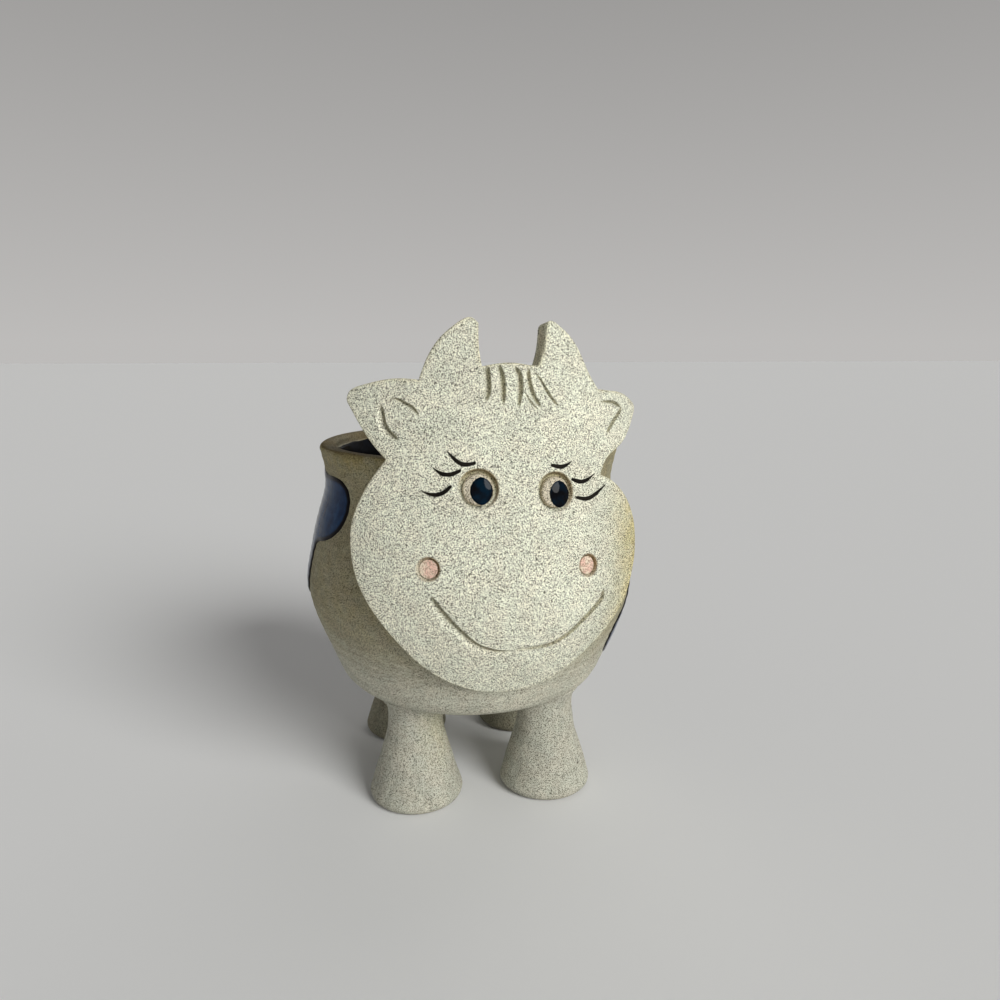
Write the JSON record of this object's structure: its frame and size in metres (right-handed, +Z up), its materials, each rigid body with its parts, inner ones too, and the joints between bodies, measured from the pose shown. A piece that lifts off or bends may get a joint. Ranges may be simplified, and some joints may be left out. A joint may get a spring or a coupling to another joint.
{
  "type": "animal shaped planter",
  "caption": "Thrown stoneware plant pot made as a cow: a bent slab head with horns and ears on its front, standing on short flared legs, with glazed patches.",
  "frame": {"origin": "on the floor under the middle of the pot, between the legs", "axes": "+Z up the pot's axis, -Y the way the face looks, +X to the viewer's right"},
  "size_m": [0.1254, 0.1337, 0.1732],
  "materials": {
    "clay_pot": "unglazed speckled stoneware, matt",
    "clay_head": "unglazed speckled stoneware, matt, lighter",
    "clay_legs": "unglazed speckled stoneware, matt",
    "clay_tail": "unglazed speckled stoneware, matt",
    "clay_eyes": "unglazed speckled stoneware, matt",
    "liner_glaze": "glossy near-black glaze",
    "blue_glaze": "glossy dark blue glaze",
    "black_glaze": "glossy black glaze",
    "lash_black": "satin black brushwork",
    "pink_glaze": "satin pink"
  },
  "bodies": {
    "root": {"pot_body": "clay_pot", "glaze_liner": "liner_glaze", "head_slab": "clay_head", "tail": "clay_tail", "leg_front_left": "clay_legs", "leg_rear_left": "clay_legs", "eye_disc_left": "clay_eyes", "pupil_left": "black_glaze", "nostril_glaze_left": "pink_glaze", "eyelashes_left": "lash_black", "leg_front_right": "clay_legs", "leg_rear_right": "clay_legs", "eye_disc_right": "clay_eyes", "pupil_right": "black_glaze", "nostril_glaze_right": "pink_glaze", "eyelashes_right": "lash_black", "glaze_patch_left_flank": "blue_glaze", "glaze_patch_right_flank": "blue_glaze", "glaze_patch_back_left": "blue_glaze", "glaze_patch_back_right": "blue_glaze"}
  },
  "joints": []
}
